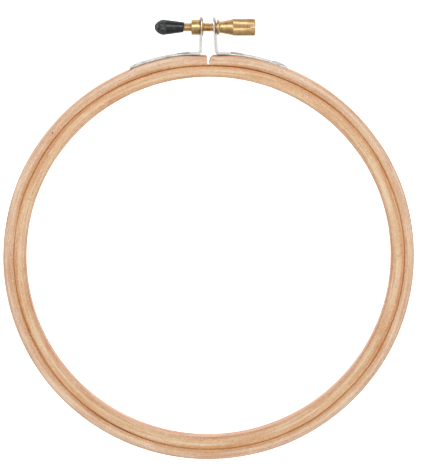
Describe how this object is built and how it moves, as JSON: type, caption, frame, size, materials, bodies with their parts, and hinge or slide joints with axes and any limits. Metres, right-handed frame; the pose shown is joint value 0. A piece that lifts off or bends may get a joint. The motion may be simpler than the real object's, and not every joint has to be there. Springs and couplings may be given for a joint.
{
  "type": "embroidery hoop",
  "caption": "Round wooden embroidery hoop: inner ring, split outer ring and a knurled brass clamping screw between riveted steel brackets.",
  "frame": {"origin": "middle of the base of the whole object's box, on the plane the hoop lies on; the rings' own centre is 7.1 mm from it towards -Y", "axes": "+Z along the hoop's axis from its back to its front, +Y from the rings' centre to the screw, +X along the screw towards its knurled head"},
  "size_m": [0.16, 0.1742, 0.008],
  "materials": {
    "inner_wood": "bare sanded beech, satin",
    "outer_wood": "bare sanded beech, satin",
    "steel": "nickel-plated strip, satin",
    "brass": "turned and knurled, bright",
    "black_plastic": "moulded, glossy"
  },
  "bodies": {
    "right_side": {"outer_hoop_right": "outer_wood", "bracket_right": "steel", "rivet_right_1": "steel", "rivet_right_2": "steel"},
    "left_side": {"outer_hoop_left": "outer_wood", "bracket_left": "steel", "rivet_left_1": "steel", "rivet_left_2": "steel", "threaded_bush": "brass"},
    "screw": {"clamp_screw": "brass"},
    "cap": {"tip_cap": "black_plastic"},
    "inner_ring": {"inner_hoop": "inner_wood"}
  },
  "joints": [
    {"name": "screw_turn", "type": "hinge", "parent": "right_side", "child": "screw", "pos_m": [0, 0.0829, 0.004], "axis": [1, 0, 0], "range_deg": [0, 1872]},
    {"name": "hoop_spread", "type": "hinge", "parent": "right_side", "child": "left_side", "pos_m": [0, -0.08515, 0.004], "axis": [0, 0, 1], "range_deg": [0, 0.89]},
    {"name": "inner_hoop_lift", "type": "slide", "parent": "right_side", "child": "inner_ring", "axis": [0, 0, 1], "range_m": [0, 0.025]},
    {"name": "tip_cap_pull", "type": "slide", "parent": "screw", "child": "cap", "axis": [-1, 0, 0], "range_m": [0, 0.012]}
  ],
  "couplings": [
    {"joint": "hoop_spread", "follows": "screw_turn", "ratio": 0.00047354}
  ]
}
